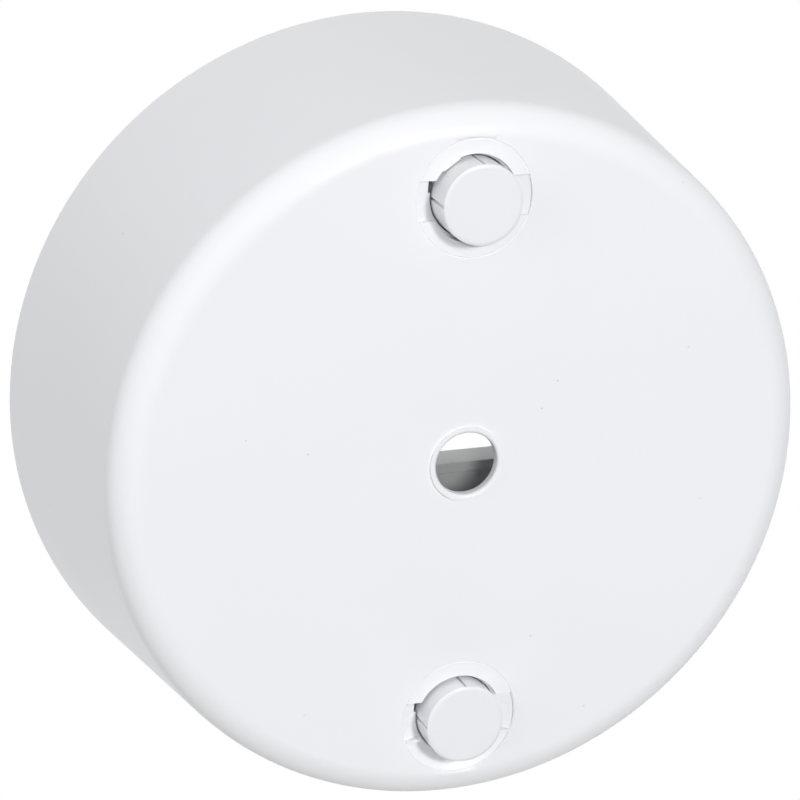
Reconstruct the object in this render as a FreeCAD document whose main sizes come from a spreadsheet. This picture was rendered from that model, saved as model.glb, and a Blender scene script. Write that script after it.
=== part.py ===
import FreeCAD
import Part
import math
import os

import Sketcher

# Ceiling rose: a round moulded cover that hides a base plate on the ceiling.
# Frame: the origin is the centre of the ceiling plane, +Z points up into the
# ceiling, so the whole part lies below zero. The two knobs stand on the Y line.

doc = FreeCAD.newDocument("ceiling_rose")
sheet = doc.addObject("Spreadsheet::Sheet", "Sizes")

SIZES = [
    # cover moulding
    ("face_dia", 79.4, "diameter of the flat front, corner to corner"),
    ("rear_dia", 85.4, "diameter of the rim that meets the ceiling"),
    ("cover_height", 33.5, "front face to ceiling"),
    ("cover_wall", 1.8, "side wall of the cover"),
    ("face_wall", 2.2, "front wall of the cover"),
    ("rim_round", 3.6, "rounding between front and side"),
    ("ceiling_gap", 0.3, "rim stops this far under the ceiling"),
    ("cord_hole_dia", 7.1, "cord hole in the middle of the front"),
    ("cord_hole_round", 0.4, "rounded edge of the cord hole"),
    ("cord_hole_bevel", 1.3, "bevel behind the cord hole"),
    ("cord_lip_dia", 8.5, "raised lip round the cord hole"),
    ("cord_lip_rise", 0.25, "rise of that lip over the front"),
    # keyed openings for the knobs
    ("knob_pitch", 60.0, "centre to centre of the two knobs"),
    ("head_play", 0.15, "gap between a knob head and its opening"),
    ("mouth_step", 0.3, "step round the mouth of the opening, sideways"),
    ("mouth_depth", 1.0, "depth of that step"),
    ("notch_start", 0.6, "notch beside the opening, nearer end"),
    ("notch_end", 2.2, "notch beside the opening, farther end"),
    ("nib_start", 112.0, "plain piece of the upper mouth, first angle in degrees"),
    ("nib_end", 138.0, "plain piece of the upper mouth, last angle in degrees"),
    ("key_ring_dia", 13.2, "circle that bounds the key slots"),
    ("key_slot_width", 4.5, "width of the key slots across the opening"),
    ("key_lip_depth", 0.3, "depth of the slots at their outer ends"),
    ("key_floor_depth", 1.3, "depth of the slot floor at the knob head"),
    ("key_shelf", 1.9, "front wall over the room for the wings"),
    ("key_groove_depth", 3.8, "far side of the groove that the wings turn in"),
    ("key_groove_play", 0.3, "gap round the tips of the wings"),
    ("dish_depth", 1.2, "depth of the dished side of the lower opening"),
    ("dish_ridge", 0.25, "ridge between that dish and the slots"),
    ("socket_dia", 16.6, "outside of the moulded socket behind the front"),
    ("socket_depth", 5.0, "depth of that socket from the front"),
    # knobs
    ("knob_head_dia", 9.0, "knob head"),
    ("head_slope", 0.5, "sloping edge of the head, along its front"),
    ("head_slope_drop", 0.2, "that edge falls back by this"),
    ("knob_head_proud", 2.6, "head stands about this far out of the front"),
    ("knob_shift", 0.3, "upper knob stands out more by this, lower one less"),
    ("knob_head_sunk", 1.7, "head goes this far into its opening"),
    ("grip_groove", 0.3, "width of the four grooves in the side of the head"),
    ("grip_groove_depth", 0.4, "depth of those grooves"),
    ("knob_shank_dia", 7.6, "knob shank"),
    ("wing_span", 11.2, "tip to tip of the two locking wings"),
    ("wing_width", 3.4, "width of a wing"),
    ("wing_clear", 0.45, "play of the wings before and behind"),
    ("shank_clear", 0.05, "running fit of the shank, each side"),
    ("tail_dia", 4.9, "snap tail of the knob"),
    ("tail_clear", 0.1, "play round the tail"),
    ("tail_play", 0.4, "the tail can shift this far up and down"),
    ("barb_dia", 6.2, "barb that keeps the tail in the post"),
    ("barb_length", 2.2, "length of the barb"),
    ("tail_slit", 0.9, "slit that lets the barb spring"),
    # base plate
    ("plate_wall", 2.4, "thickness of the base plate"),
    ("plate_rim", 4.0, "height of the raised edge of the plate"),
    ("plate_rim_wall", 1.6, "wall of that raised edge"),
    ("plate_clear", 0.4, "gap between plate edge and cover"),
    ("post_dia", 12.0, "posts that carry the knobs"),
    ("post_gap", 0.4, "gap between post and cover socket"),
    ("shoulder_top", 8.0, "shoulder in the post, distance below ceiling"),
    ("shoulder_wall", 2.0, "thickness of that shoulder"),
    ("barb_room_dia", 7.4, "room for the barb behind the shoulder"),
    ("window_long", 37.0, "cable window, long side"),
    ("window_short", 22.0, "cable window, short side"),
    ("window_round", 3.0, "corner rounding of the window"),
    ("window_lip", 1.3, "wall round the window"),
    ("window_lip_rise", 4.4, "height of that wall below the ceiling"),
    ("fixing_pitch", 60.0, "centre to centre of the fixing slots"),
    ("fixing_slot_width", 4.5, "width of a fixing slot"),
    ("fixing_slot_length", 9.5, "length of a fixing slot"),
    ("rib_wall", 1.4, "stiffening ribs of the plate"),
    # terminals
    ("pole_pitch", 9.0, "centre to centre of the four poles"),
    ("housing_end", 5.6, "centre of the last pole to the end of the housing"),
    ("housing_depth", 10.4, "housing, across the wires"),
    ("housing_height", 13.5, "housing, from the plate down"),
    ("housing_gap", 0.6, "gap between window wall and housing"),
    ("chamber_width", 6.2, "room for a clamp in the housing"),
    ("chamber_height", 7.2, "height of that room"),
    ("chamber_floor", 2.2, "plate to the start of that room"),
    ("clamp_play", 0.1, "play of a clamp in its room"),
    ("clamp_inset", 0.8, "clamp ends this far inside the housing"),
    ("wire_bore", 3.2, "bore for the wires"),
    ("well_wall", 0.75, "housing wall beside a screw well"),
    ("screw_dia", 3.0, "thread diameter of the terminal screws"),
    ("screw_clear", 0.05, "play of a screw in its thread, each side"),
    ("screw_head_dia", 3.9, "head of a terminal screw"),
    ("screw_head_height", 1.8, "height of that head"),
    ("screw_shaft", 3.5, "shaft of a terminal screw"),
    ("screw_slot", 0.7, "driver slot"),
    ("screw_well_dia", 4.3, "well over a screw in the housing"),
    ("clip_wall", 1.6, "snap clips at the ends of the housing"),
    ("clip_width", 5.0, "width of a clip"),
    ("clip_hook", 0.9, "hook of a clip over its step"),
    ("clip_gap", 0.15, "play between clip and housing"),
    # cord clamp
    ("cord_x", 9.0, "cord clamp, sideways from the middle"),
    ("saddle_gap", 2.1, "gap between window wall and saddle"),
    ("saddle_long", 20.0, "saddle and bar, long side"),
    ("saddle_wide", 6.4, "saddle and bar, short side"),
    ("saddle_height", 6.2, "saddle, from the ceiling down"),
    ("bar_height", 4.6, "clamp bar"),
    ("cord_grip_dia", 6.4, "round passage for the cord"),
    ("cord_screw_step", 7.0, "clamp screws from the cord"),
    ("cord_screw_head_dia", 5.4, "head of a clamp screw"),
    ("cord_screw_head_height", 2.0, "height of that head"),
    ("cord_screw_shaft", 8.4, "shaft of a clamp screw"),
]


class Term:
    """A number together with the sheet formula that gives it."""

    def __init__(self, value, text):
        self.value = value
        self.text = text

    def _join(self, other, sign, value):
        return Term(value, "(" + self.text + " " + sign + " " + as_term(other).text + ")")

    def __add__(self, other):
        return self._join(other, "+", self.value + as_term(other).value)

    def __sub__(self, other):
        return self._join(other, "-", self.value - as_term(other).value)

    def __mul__(self, other):
        return self._join(other, "*", self.value * as_term(other).value)

    def __truediv__(self, other):
        return self._join(other, "/", self.value / as_term(other).value)

    def __neg__(self):
        return Term(-self.value, "(0 - " + self.text + ")")


def as_term(number):
    """Turn a plain number into a term."""
    if isinstance(number, Term):
        return number
    return Term(float(number), repr(float(number)))


def cosine(angle):
    """Cosine of an angle in degrees."""
    return Term(math.cos(math.radians(angle.value)), "cos(" + angle.text + " * 1 deg)")


def sine(angle):
    """Sine of an angle in degrees."""
    return Term(math.sin(math.radians(angle.value)), "sin(" + angle.text + " * 1 deg)")


class Names:
    """Holds one term for each named size."""


size = Names()
for row, (alias, value, note) in enumerate(SIZES, start=1):
    sheet.set("A" + str(row), alias)
    sheet.set("B" + str(row), str(value))
    sheet.set("C" + str(row), note)
    sheet.setAlias("B" + str(row), alias)
    setattr(size, alias, Term(value, "Sizes." + alias))
doc.recompute()

ZERO = as_term(0.0)


def bind(item, prop, term):
    """Bind a property of an object to its formula."""
    item.setExpression(prop, as_term(term).text)


def new_body(label):
    """Start a body under its own name."""
    body = doc.addObject("PartDesign::Body", label)
    body.Label = label
    return body


def origin_item(body, role):
    """Find a plane or an axis of the body's own origin."""
    for item in body.Origin.OriginFeatures:
        if item.Role == role:
            return item
    raise ValueError(role)


def new_sketch(body, name, role="XY_Plane", level=None):
    """Attach a sketch to an origin plane, lifted to a level."""
    sketch = body.newObject("Sketcher::SketchObject", name)
    sketch.AttachmentSupport = [(origin_item(body, role), "")]
    sketch.MapMode = "FlatFace"
    if level is not None:
        bind(sketch, "AttachmentOffset.Base.z", level)
    return sketch


def pin_point(sketch, geometry, point, x, y):
    """Fix one point of a sketch at bound coordinates."""
    for kind, axis, term in (("DistanceX", -2, as_term(x)), ("DistanceY", -1, as_term(y))):
        if term is ZERO:
            sketch.addConstraint(Sketcher.Constraint("PointOnObject", geometry, point, axis))
            continue
        index = sketch.addConstraint(
            Sketcher.Constraint(kind, -1, 1, geometry, point, term.value)
        )
        bind(sketch, "Constraints[" + str(index) + "]", term)


def pin_height(sketch, geometry, y):
    """Fix the height of the start of a line."""
    index = sketch.addConstraint(
        Sketcher.Constraint("DistanceY", -1, 1, geometry, 1, as_term(y).value)
    )
    bind(sketch, "Constraints[" + str(index) + "]", y)


def pin_radius(sketch, geometry, radius):
    """Bind the radius of a circle or an arc."""
    index = sketch.addConstraint(
        Sketcher.Constraint("Radius", geometry, as_term(radius).value)
    )
    bind(sketch, "Constraints[" + str(index) + "]", radius)


def vector(x, y):
    """Make a sketch point from two terms."""
    return FreeCAD.Vector(as_term(x).value, as_term(y).value, 0)


def draw_polygon(sketch, points):
    """Draw a closed outline through bound points."""
    first = sketch.GeometryCount
    count = len(points)
    for i in range(count):
        start = vector(*points[i])
        end = vector(*points[(i + 1) % count])
        sketch.addGeometry(Part.LineSegment(start, end))
    for i in range(count):
        sketch.addConstraint(
            Sketcher.Constraint("Coincident", first + i, 2, first + (i + 1) % count, 1)
        )
    for i in range(count):
        pin_point(sketch, first + i, 1, *points[i])


def draw_box(sketch, x, y, long_side, short_side):
    """Draw an upright rectangle round a centre."""
    draw_polygon(sketch, [
        (x - long_side / 2, y - short_side / 2),
        (x + long_side / 2, y - short_side / 2),
        (x + long_side / 2, y + short_side / 2),
        (x - long_side / 2, y + short_side / 2),
    ])


def draw_circle(sketch, x, y, radius):
    """Draw a bound circle."""
    circle = Part.Circle(vector(x, y), FreeCAD.Vector(0, 0, 1), as_term(radius).value)
    index = sketch.addGeometry(circle)
    pin_point(sketch, index, 3, x, y)
    pin_radius(sketch, index, radius)


def arc_at(x, y, radius, start, end):
    """Make an arc from two angles."""
    circle = Part.Circle(vector(x, y), FreeCAD.Vector(0, 0, 1), as_term(radius).value)
    return Part.ArcOfCircle(circle, start, end)


def draw_band(sketch, y, radius, half_width):
    """Draw the part of a disc that lies inside a level band."""
    turn = math.asin(as_term(half_width).value / as_term(radius).value)
    reach = as_term(radius).value * math.cos(turn)
    top = y + half_width
    bottom = y - half_width
    first = sketch.GeometryCount
    sketch.addGeometry(Part.LineSegment(vector(-reach, top), vector(reach, top)))
    sketch.addGeometry(arc_at(ZERO, y, radius, -turn, turn))
    sketch.addGeometry(Part.LineSegment(vector(reach, bottom), vector(-reach, bottom)))
    sketch.addGeometry(arc_at(ZERO, y, radius, math.pi - turn, math.pi + turn))
    for one, end_one, two, end_two in ((0, 2, 1, 2), (1, 1, 2, 1), (2, 2, 3, 2), (3, 1, 0, 1)):
        sketch.addConstraint(
            Sketcher.Constraint("Coincident", first + one, end_one, first + two, end_two)
        )
    sketch.addConstraint(Sketcher.Constraint("Horizontal", first))
    sketch.addConstraint(Sketcher.Constraint("Horizontal", first + 2))
    pin_point(sketch, first + 1, 3, ZERO, y)
    sketch.addConstraint(Sketcher.Constraint("Coincident", first + 1, 3, first + 3, 3))
    pin_radius(sketch, first + 1, radius)
    sketch.addConstraint(Sketcher.Constraint("Equal", first + 1, first + 3))
    pin_height(sketch, first, top)
    pin_height(sketch, first + 2, bottom)


def draw_segment(sketch, y, radius, offset, side):
    """Draw the part of a disc beyond a level chord."""
    turn = math.asin(as_term(offset).value / as_term(radius).value)
    reach = as_term(radius).value * math.cos(turn)
    chord = y + offset * side
    start = turn if side > 0 else math.pi + turn
    first = sketch.GeometryCount
    sketch.addGeometry(arc_at(ZERO, y, radius, start, start + math.pi - 2 * turn))
    sketch.addGeometry(
        Part.LineSegment(vector(-reach * side, chord), vector(reach * side, chord))
    )
    sketch.addConstraint(Sketcher.Constraint("Coincident", first, 2, first + 1, 1))
    sketch.addConstraint(Sketcher.Constraint("Coincident", first + 1, 2, first, 1))
    sketch.addConstraint(Sketcher.Constraint("Horizontal", first + 1))
    pin_point(sketch, first, 3, ZERO, y)
    pin_radius(sketch, first, radius)
    pin_height(sketch, first + 1, chord)


def draw_slot(sketch, x, y, half_length, radius):
    """Draw a level slot with round ends."""
    first = sketch.GeometryCount
    right = x + half_length
    left = x - half_length
    sketch.addGeometry(arc_at(right, y, radius, -math.pi / 2, math.pi / 2))
    sketch.addGeometry(Part.LineSegment(vector(right, y + radius), vector(left, y + radius)))
    sketch.addGeometry(arc_at(left, y, radius, math.pi / 2, 3 * math.pi / 2))
    sketch.addGeometry(Part.LineSegment(vector(left, y - radius), vector(right, y - radius)))
    for i in range(4):
        sketch.addConstraint(
            Sketcher.Constraint("Tangent", first + i, 2, first + (i + 1) % 4, 1)
        )
    sketch.addConstraint(Sketcher.Constraint("Horizontal", first + 1))
    pin_point(sketch, first, 3, right, y)
    pin_point(sketch, first + 2, 3, left, y)
    pin_radius(sketch, first, radius)


def add_feature(body, kind, name, sketch, length=None, up=True):
    """Pad or pocket a sketch; up tells which way it goes along its normal."""
    feature = body.newObject("PartDesign::" + kind, name)
    feature.Profile = sketch
    if length is not None:
        feature.Type = "Length"
        bind(feature, "Length", length)
    feature.Reversed = up if kind == "Pocket" else not up
    sketch.Visibility = False
    return feature


def add_turned(body, name, sketch):
    """Turn a half outline round the upright axis."""
    feature = body.newObject("PartDesign::Revolution", name)
    feature.Profile = sketch
    feature.ReferenceAxis = (sketch, ["V_Axis"])
    feature.Angle = 360
    return feature


def add_ramp(body, name, start, end):
    """Cut away what lies between two outlines at two levels."""
    ramp = body.newObject("PartDesign::SubtractiveLoft", name)
    ramp.Profile = start
    ramp.Sections = [end]
    ramp.Ruled = True
    return ramp


def find_edges(shape, test):
    """Names of the edges that a test accepts."""
    return ["Edge" + str(i) for i, edge in enumerate(shape.Edges, start=1) if test(edge)]


def circle_test(radius, height):
    """Test for a level circle of one radius at one height."""
    def test(edge):
        curve = edge.Curve
        if not isinstance(curve, Part.Circle):
            return False
        at_axis = math.hypot(curve.Center.x, curve.Center.y) < 1e-4
        same_radius = abs(curve.Radius - radius.value) < 1e-4
        return at_axis and same_radius and abs(curve.Center.z - height.value) < 1e-4
    return test


def upright_test(x, y, low, high):
    """Test for an upright straight edge at one of four mirrored corners."""
    def test(edge):
        if not isinstance(edge.Curve, Part.Line):
            return False
        box = edge.BoundBox
        level = box.XLength < 1e-4 and box.YLength < 1e-4
        beside = abs(abs(box.Center.x) - x.value) < 1e-4 and abs(abs(box.Center.y) - y.value) < 1e-4
        return level and beside and box.ZMin > low.value - 1e-4 and box.ZMax < high.value + 1e-4
    return test


def add_round(body, name, base, tests, amount, kind="Fillet"):
    """Round or bevel the edges that the tests pick."""
    doc.recompute()
    names = []
    for test in tests:
        found = find_edges(base.Shape, test)
        if not found:
            raise ValueError("no edge to round for " + name)
        names.extend(found)
    feature = body.newObject("PartDesign::" + kind, name)
    feature.Base = (base, names)
    bind(feature, "Radius" if kind == "Fillet" else "Size", amount)
    return feature


def add_pattern(body, name, originals, copies):
    """Repeat features round the upright axis."""
    pattern = body.newObject("PartDesign::PolarPattern", name)
    pattern.Originals = originals
    pattern.Axis = (origin_item(body, "Z_Axis"), [""])
    pattern.Angle = 360
    pattern.Occurrences = copies
    body.Tip = pattern
    return pattern


def place(item, x, y, z):
    """Bind the place of an object."""
    bind(item, "Placement.Base.x", x)
    bind(item, "Placement.Base.y", y)
    bind(item, "Placement.Base.z", z)


# Heights that several pieces share, as distances from the ceiling plane.
FACE = -size.cover_height
SLOPE = (size.rear_dia - size.face_dia) / 2 / size.cover_height
RIM_TOP = -size.ceiling_gap
KNOB_Y = size.knob_pitch / 2
PLATE_FRONT = -size.plate_wall
POST_END = FACE + size.socket_depth + size.post_gap
CHAMBER_TOP = PLATE_FRONT - size.chamber_floor
CLAMP_HEIGHT = size.chamber_height - size.clamp_play * 2
CLAMP_WIDTH = size.chamber_width - size.clamp_play * 2
CLAMP_TOP = CHAMBER_TOP - size.clamp_play
WIRE_Z = CLAMP_TOP - CLAMP_HEIGHT / 2 + size.clamp_play
HOUSING_LONG = size.pole_pitch * 3 + size.housing_end * 2
WINDOW_EDGE = size.window_short / 2 + size.window_lip
HOUSING_Y = WINDOW_EDGE + size.housing_gap + size.housing_depth / 2
CORD_Y = -(WINDOW_EDGE + size.saddle_gap + size.saddle_wide / 2)
SCREW_STEP = size.housing_depth / 2 - size.well_wall - size.screw_well_dia / 2
CLAMP_LENGTH = size.housing_depth - size.clamp_inset * 2
HOLE_RADIUS = size.knob_head_dia / 2 + size.head_play
MOUTH_RADIUS = HOLE_RADIUS + size.mouth_step


def make_cover():
    """One moulding: tapered cup, cord hole and two keyed sockets."""
    body = new_body("cover")
    face_radius = size.face_dia / 2
    hole_radius = size.cord_hole_dia / 2
    lip_radius = size.cord_lip_dia / 2
    inner_face = FACE + size.face_wall
    outer_rear = size.rear_dia / 2 - SLOPE * size.ceiling_gap
    profile = new_sketch(body, "cover_profile", "XZ_Plane")
    draw_polygon(profile, [
        (hole_radius, FACE - size.cord_lip_rise),
        (lip_radius, FACE - size.cord_lip_rise),
        (lip_radius, FACE),
        (face_radius, FACE),
        (outer_rear, RIM_TOP),
        (outer_rear - size.cover_wall, RIM_TOP),
        (face_radius - size.cover_wall + SLOPE * size.face_wall, inner_face),
        (hole_radius, inner_face),
    ])
    cup = add_turned(body, "cup", profile)
    outer_round = add_round(
        body, "front_round", cup, [circle_test(face_radius, FACE)], size.rim_round
    )
    inner_bevel = add_round(
        body, "inner_bevel", outer_round,
        [circle_test(face_radius - size.cover_wall + SLOPE * size.face_wall, inner_face)],
        size.rim_round - size.cover_wall, "Chamfer",
    )
    hole_round = add_round(
        body, "cord_hole_round", inner_bevel,
        [circle_test(hole_radius, FACE - size.cord_lip_rise)], size.cord_hole_round,
    )
    hole_bevel = add_round(
        body, "cord_hole_bevel", hole_round,
        [circle_test(hole_radius, inner_face)], size.cord_hole_bevel, "Chamfer",
    )

    socket_sketch = new_sketch(body, "socket_outline", level=FACE + size.face_wall / 2)
    draw_circle(socket_sketch, ZERO, KNOB_Y, size.socket_dia / 2)
    socket = add_feature(
        body, "Pad", "socket", socket_sketch, size.socket_depth - size.face_wall / 2
    )
    hole_sketch = new_sketch(body, "key_hole_outline", level=FACE)
    draw_circle(hole_sketch, ZERO, KNOB_Y, HOLE_RADIUS)
    key_hole = add_feature(body, "Pocket", "key_hole", hole_sketch, size.socket_depth)
    mouth_sketch = new_sketch(body, "key_mouth_outline", level=FACE)
    draw_circle(mouth_sketch, ZERO, KNOB_Y, MOUTH_RADIUS)
    key_mouth = add_feature(body, "Pocket", "key_mouth", mouth_sketch, size.mouth_depth)
    notch_sketch = new_sketch(body, "key_notch_outline", level=FACE)
    notch_y = (size.notch_start + size.notch_end) / 2
    notch_wide = size.mouth_step * 2
    for side in (1, -1):
        draw_box(
            notch_sketch, (MOUTH_RADIUS - notch_wide / 2) * side, KNOB_Y + notch_y * side,
            notch_wide, size.notch_end - size.notch_start,
        )
    notches = add_feature(body, "Pocket", "key_notches", notch_sketch, size.key_shelf)

    # The wings turn in a groove; they go in and out where its far side is cut away.
    groove_radius = size.wing_span / 2 + size.key_groove_play
    groove_sketch = new_sketch(body, "wing_groove_outline", level=FACE + size.key_shelf)
    draw_circle(groove_sketch, ZERO, KNOB_Y, groove_radius)
    wing_groove = add_feature(
        body, "Pocket", "wing_groove", groove_sketch, size.key_groove_depth - size.key_shelf
    )
    room_sketch = new_sketch(body, "wing_room_outline", level=FACE + size.key_groove_depth)
    half = size.key_slot_width / 2
    for side in (1, -1):
        draw_segment(room_sketch, KNOB_Y, groove_radius, half, side)
    wing_room = add_feature(
        body, "Pocket", "wing_room", room_sketch, size.socket_depth - size.key_groove_depth
    )

    # Two shallow slots slope from the ring down to the opening.
    ring = size.key_ring_dia / 2
    floor = size.knob_head_dia / 2
    slot_sketch = new_sketch(body, "slot_outline", level=FACE)
    draw_band(slot_sketch, KNOB_Y, ring, half)
    slot_mouth = add_feature(body, "Pocket", "slot_mouth", slot_sketch, size.key_lip_depth)
    upper = new_sketch(body, "slot_ramp_start", level=FACE + size.key_lip_depth)
    draw_band(upper, KNOB_Y, ring, half)
    lower = new_sketch(body, "slot_ramp_end", level=FACE + size.key_floor_depth)
    draw_band(lower, KNOB_Y, floor, half)
    ramp = add_ramp(body, "slot_ramp", upper, lower)
    doc.recompute()
    add_pattern(
        body, "two_sockets",
        [
            socket, key_hole, key_mouth, notches, wing_groove, wing_room, slot_mouth, ramp,
        ],
        2,
    )

    # A short piece of the upper mouth keeps the level of the front.
    nib_sketch = new_sketch(body, "nib_outline", level=FACE + size.mouth_depth)
    corners = []
    for radius, angle in (
        (MOUTH_RADIUS - size.mouth_step / 2, size.nib_start),
        (MOUTH_RADIUS + size.mouth_step, size.nib_start),
        (MOUTH_RADIUS + size.mouth_step, size.nib_end),
        (MOUTH_RADIUS - size.mouth_step / 2, size.nib_end),
    ):
        corners.append((radius * -cosine(angle), KNOB_Y + radius * sine(angle)))
    draw_polygon(nib_sketch, corners)
    add_feature(body, "Pad", "mouth_nib", nib_sketch, size.mouth_depth, up=False)

    # The outer side of the lower opening is dished as well.
    dish_chord = half + size.dish_ridge
    rim_sketch = new_sketch(body, "dish_outline", level=FACE)
    draw_segment(rim_sketch, -KNOB_Y, ring, dish_chord, -1)
    add_feature(body, "Pocket", "dish_mouth", rim_sketch, size.key_lip_depth)
    outer = new_sketch(body, "dish_start", level=FACE + size.key_lip_depth)
    draw_segment(outer, -KNOB_Y, ring, dish_chord, -1)
    inner = new_sketch(body, "dish_end", level=FACE + size.dish_depth)
    draw_segment(inner, -KNOB_Y, floor, dish_chord, -1)
    add_ramp(body, "dish", outer, inner)
    hole_bevel.Visibility = False
    return body


def make_knob(label, side):
    """Quarter-turn knob: round head, two wings, shank and snap tail."""
    body = new_body(label)
    head = size.knob_head_dia / 2
    shank = size.knob_shank_dia / 2
    tail = size.tail_dia / 2
    barb = size.barb_dia / 2
    front = FACE - size.knob_head_proud
    shank_end = -size.shoulder_top - size.tail_play
    barb_start = -size.shoulder_top + size.shoulder_wall + size.tail_play
    barb_end = barb_start + size.barb_length
    profile = new_sketch(body, label + "_profile", "XZ_Plane")
    draw_polygon(profile, [
        (ZERO, front),
        (head - size.head_slope, front),
        (head, front + size.head_slope_drop),
        (head, FACE + size.knob_head_sunk),
        (shank, FACE + size.knob_head_sunk),
        (shank, shank_end),
        (tail, shank_end),
        (tail, barb_start),
        (barb, barb_start),
        (barb, barb_start + size.barb_length / 3),
        (tail - size.tail_slit / 2, barb_end),
        (ZERO, barb_end),
    ])
    add_turned(body, label + "_turned", profile)
    wing_sketch = new_sketch(
        body, label + "_wing_outline", level=FACE + size.key_shelf + size.wing_clear
    )
    turn = math.asin((size.wing_width.value / 2) / (size.wing_span.value / 2))
    reach = size.wing_span.value / 2 * math.cos(turn)
    half = size.wing_width / 2
    arcs = size.wing_span / 2
    wing_sketch.addGeometry(arc_at(ZERO, ZERO, arcs, math.pi / 2 - turn, math.pi / 2 + turn))
    wing_sketch.addGeometry(Part.LineSegment(vector(-half, reach), vector(-half, -reach)))
    wing_sketch.addGeometry(
        arc_at(ZERO, ZERO, arcs, 3 * math.pi / 2 - turn, 3 * math.pi / 2 + turn)
    )
    wing_sketch.addGeometry(Part.LineSegment(vector(half, -reach), vector(half, reach)))
    for i in range(4):
        wing_sketch.addConstraint(Sketcher.Constraint("Coincident", i, 2, (i + 1) % 4, 1))
    wing_sketch.addConstraint(Sketcher.Constraint("Vertical", 1))
    wing_sketch.addConstraint(Sketcher.Constraint("Vertical", 3))
    wing_sketch.addConstraint(Sketcher.Constraint("Coincident", 0, 3, -1, 1))
    wing_sketch.addConstraint(Sketcher.Constraint("Coincident", 2, 3, -1, 1))
    pin_radius(wing_sketch, 0, arcs)
    wing_sketch.addConstraint(Sketcher.Constraint("Equal", 0, 2))
    for line, term in ((1, -half), (3, half)):
        index = wing_sketch.addConstraint(
            Sketcher.Constraint("DistanceX", -1, 1, line, 1, term.value)
        )
        bind(wing_sketch, "Constraints[" + str(index) + "]", term)
    wing_depth = size.key_groove_depth - size.key_shelf - size.wing_clear * 2
    add_feature(body, "Pad", label + "_wings", wing_sketch, wing_depth)
    grip_sketch = new_sketch(body, label + "_grip_outline", level=FACE + size.knob_head_sunk)
    grip = size.grip_groove_depth * 2
    for side_x, side_y in ((1, 0), (0, 1), (-1, 0), (0, -1)):
        draw_box(
            grip_sketch, head * side_x, head * side_y,
            grip * abs(side_x) + size.grip_groove * abs(side_y),
            grip * abs(side_y) + size.grip_groove * abs(side_x),
        )
    grip_height = size.knob_head_sunk + size.knob_head_proud - size.head_slope_drop
    add_feature(body, "Pocket", label + "_grip", grip_sketch, grip_height, up=False)
    slit_sketch = new_sketch(body, label + "_slit_outline", level=barb_end)
    draw_box(slit_sketch, ZERO, ZERO, size.tail_slit, size.barb_dia * 2)
    slit_depth = size.barb_length + size.shoulder_wall
    add_feature(body, "Pocket", label + "_slit", slit_sketch, slit_depth, up=False)
    place(body, ZERO, KNOB_Y * side, -size.knob_shift * side)
    return body


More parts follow.
